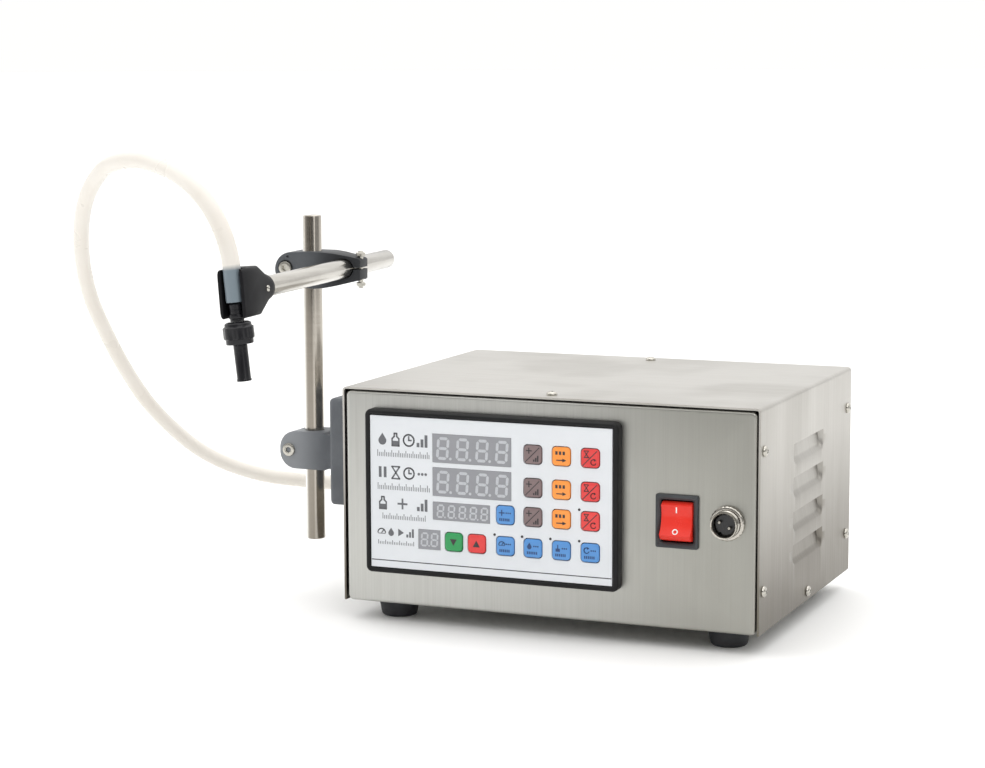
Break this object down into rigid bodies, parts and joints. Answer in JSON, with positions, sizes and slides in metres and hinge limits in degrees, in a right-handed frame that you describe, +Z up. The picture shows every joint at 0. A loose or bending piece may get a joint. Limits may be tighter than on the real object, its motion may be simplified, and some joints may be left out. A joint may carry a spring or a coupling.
{
  "type": "bench-top piston liquid filler",
  "caption": "Bench-top liquid filler: steel control box with keypad and displays, and a clamped rod stand that holds a dosing nozzle on a silicone hose.",
  "frame": {"origin": "on the bench, under the middle of the machine's box without the outlet hose", "axes": "+X along the front of the box towards the switch, +Y to the back, +Z up"},
  "size_m": [0.5105, 0.3458, 0.2824],
  "materials": {
    "brushed_steel": "satin brushed sheet",
    "polished_steel": "polished bar",
    "black_plastic": "fine matte",
    "panel_film": "satin polyester film",
    "display_window": "semi-gloss window",
    "key_brown": "embossed satin film",
    "key_orange": "embossed satin film",
    "key_red": "embossed satin film",
    "key_blue": "embossed satin film",
    "key_green": "embossed satin film",
    "rocker_red": "glossy moulded",
    "rubber": "matte",
    "grey_polyamide": "fine textured moulding",
    "nozzle_plastic": "smooth moulded",
    "silicone": "translucent satin",
    "zinc_screw": "bright plated",
    "circuit_board": "lacquered",
    "nylon_white": "semi-matte",
    "zinc_sheet": "plain sheet"
  },
  "bodies": {
    "root": {"chassis_tray": "brushed_steel", "top_cover": "brushed_steel", "foot_front_left": "rubber", "foot_front_right": "rubber", "foot_back_left": "rubber", "foot_back_right": "rubber", "panel_bezel": "black_plastic", "panel_overlay": "panel_film", "display_fill_time": "display_window", "display_wait_time": "display_window", "display_count": "display_window", "display_speed": "display_window", "switch_bezel": "black_plastic", "socket_shell": "polished_steel", "socket_insulator": "black_plastic", "socket_nut": "polished_steel", "stand_bracket": "grey_polyamide", "bracket_screw": "zinc_screw", "outlet_hose": "silicone", "outlet_elbow": "nylon_white", "inlet_barb": "nylon_white", "inner_outlet_hose": "silicone", "inner_inlet_hose": "silicone", "power_inlet": "black_plastic", "power_supply": "zinc_sheet", "control_board": "circuit_board", "pump_motor": "zinc_sheet", "pump_housing": "black_plastic", "pump_head": "black_plastic", "pump_saddle": "black_plastic"},
    "post": {"stand_post": "polished_steel"},
    "clamp": {"cross_clamp": "grey_polyamide", "clamp_post_screw": "zinc_screw", "clamp_arm_bolt": "zinc_screw"},
    "arm": {"cross_arm": "polished_steel"},
    "nozzle": {"nozzle_holder": "black_plastic", "holder_screw": "zinc_screw", "nozzle_body": "nozzle_plastic", "nozzle_nut": "nozzle_plastic", "nozzle_spout": "nozzle_plastic"},
    "rocker": {"switch_rocker": "rocker_red"},
    "shaft": {"pump_shaft": "polished_steel"},
    "wobble": {"wobble_plate": "nylon_white"},
    "key_count_set_cap": {"key_count_set": "key_blue"},
    "key_speed_down_cap": {"key_speed_down": "key_green"},
    "key_speed_up_cap": {"key_speed_up": "key_red"},
    "key_digit_1_cap": {"key_digit_1": "key_brown"},
    "key_shift_1_cap": {"key_shift_1": "key_orange"},
    "key_cancel_1_cap": {"key_cancel_1": "key_red"},
    "key_digit_2_cap": {"key_digit_2": "key_brown"},
    "key_shift_2_cap": {"key_shift_2": "key_orange"},
    "key_cancel_2_cap": {"key_cancel_2": "key_red"},
    "key_digit_3_cap": {"key_digit_3": "key_brown"},
    "key_shift_3_cap": {"key_shift_3": "key_orange"},
    "key_cancel_3_cap": {"key_cancel_3": "key_red"},
    "key_mode_1_cap": {"key_mode_1": "key_blue"},
    "key_mode_2_cap": {"key_mode_2": "key_blue"},
    "key_mode_3_cap": {"key_mode_3": "key_blue"},
    "key_mode_4_cap": {"key_mode_4": "key_blue"}
  },
  "joints": [
    {"name": "post_height", "type": "slide", "parent": "root", "child": "post", "axis": [0, 0, 1], "range_m": [-0.03, 0.04], "deforming": ["outlet_hose"]},
    {"name": "clamp_turn", "type": "hinge", "parent": "post", "child": "clamp", "pos_m": [-0.14655, 0.0119, 0.2066], "axis": [0, 0, 1], "range_deg": [-60, 30], "deforming": ["outlet_hose"]},
    {"name": "arm_reach", "type": "slide", "parent": "clamp", "child": "arm", "axis": [-0.0891, 0.996, 0], "range_m": [-0.05, 0.03], "deforming": ["outlet_hose"]},
    {"name": "holder_roll", "type": "hinge", "parent": "arm", "child": "nozzle", "pos_m": [-0.12265, 0.01404, 0.2066], "axis": [-0.0891, 0.996, 0], "range_deg": [-30, 30], "deforming": ["outlet_hose"]},
    {"name": "rocker_tilt", "type": "hinge", "parent": "root", "child": "rocker", "pos_m": [0.11945, -0.0571, 0.0749], "axis": [1, 0, 0], "range_deg": [0, 22]},
    {"name": "pump_turn", "type": "hinge", "parent": "root", "child": "shaft", "pos_m": [-0.01195, 0.0599, 0.044], "axis": [0, 1, 0], "continuous": true},
    {"name": "wobble_turn", "type": "hinge", "parent": "shaft", "child": "wobble", "pos_m": [-0.01195, 0.0599, 0.044], "axis": [0.0698, 0.9976, 0], "continuous": true},
    {"name": "key_count_set_press", "type": "slide", "parent": "root", "child": "key_count_set_cap", "axis": [0, 1, 0], "range_m": [0, 0.0006], "stiffness_N_per_m": 900, "springref_m": -0.0002},
    {"name": "key_speed_down_press", "type": "slide", "parent": "root", "child": "key_speed_down_cap", "axis": [0, 1, 0], "range_m": [0, 0.0006], "stiffness_N_per_m": 900, "springref_m": -0.0002},
    {"name": "key_speed_up_press", "type": "slide", "parent": "root", "child": "key_speed_up_cap", "axis": [0, 1, 0], "range_m": [0, 0.0006], "stiffness_N_per_m": 900, "springref_m": -0.0002},
    {"name": "key_digit_1_press", "type": "slide", "parent": "root", "child": "key_digit_1_cap", "axis": [0, 1, 0], "range_m": [0, 0.0006], "stiffness_N_per_m": 900, "springref_m": -0.0002},
    {"name": "key_shift_1_press", "type": "slide", "parent": "root", "child": "key_shift_1_cap", "axis": [0, 1, 0], "range_m": [0, 0.0006], "stiffness_N_per_m": 900, "springref_m": -0.0002},
    {"name": "key_cancel_1_press", "type": "slide", "parent": "root", "child": "key_cancel_1_cap", "axis": [0, 1, 0], "range_m": [0, 0.0006], "stiffness_N_per_m": 900, "springref_m": -0.0002},
    {"name": "key_digit_2_press", "type": "slide", "parent": "root", "child": "key_digit_2_cap", "axis": [0, 1, 0], "range_m": [0, 0.0006], "stiffness_N_per_m": 900, "springref_m": -0.0002},
    {"name": "key_shift_2_press", "type": "slide", "parent": "root", "child": "key_shift_2_cap", "axis": [0, 1, 0], "range_m": [0, 0.0006], "stiffness_N_per_m": 900, "springref_m": -0.0002},
    {"name": "key_cancel_2_press", "type": "slide", "parent": "root", "child": "key_cancel_2_cap", "axis": [0, 1, 0], "range_m": [0, 0.0006], "stiffness_N_per_m": 900, "springref_m": -0.0002},
    {"name": "key_digit_3_press", "type": "slide", "parent": "root", "child": "key_digit_3_cap", "axis": [0, 1, 0], "range_m": [0, 0.0006], "stiffness_N_per_m": 900, "springref_m": -0.0002},
    {"name": "key_shift_3_press", "type": "slide", "parent": "root", "child": "key_shift_3_cap", "axis": [0, 1, 0], "range_m": [0, 0.0006], "stiffness_N_per_m": 900, "springref_m": -0.0002},
    {"name": "key_cancel_3_press", "type": "slide", "parent": "root", "child": "key_cancel_3_cap", "axis": [0, 1, 0], "range_m": [0, 0.0006], "stiffness_N_per_m": 900, "springref_m": -0.0002},
    {"name": "key_mode_1_press", "type": "slide", "parent": "root", "child": "key_mode_1_cap", "axis": [0, 1, 0], "range_m": [0, 0.0006], "stiffness_N_per_m": 900, "springref_m": -0.0002},
    {"name": "key_mode_2_press", "type": "slide", "parent": "root", "child": "key_mode_2_cap", "axis": [0, 1, 0], "range_m": [0, 0.0006], "stiffness_N_per_m": 900, "springref_m": -0.0002},
    {"name": "key_mode_3_press", "type": "slide", "parent": "root", "child": "key_mode_3_cap", "axis": [0, 1, 0], "range_m": [0, 0.0006], "stiffness_N_per_m": 900, "springref_m": -0.0002},
    {"name": "key_mode_4_press", "type": "slide", "parent": "root", "child": "key_mode_4_cap", "axis": [0, 1, 0], "range_m": [0, 0.0006], "stiffness_N_per_m": 900, "springref_m": -0.0002}
  ],
  "couplings": [
    {"joint": "wobble_turn", "follows": "pump_turn", "ratio": -1}
  ]
}
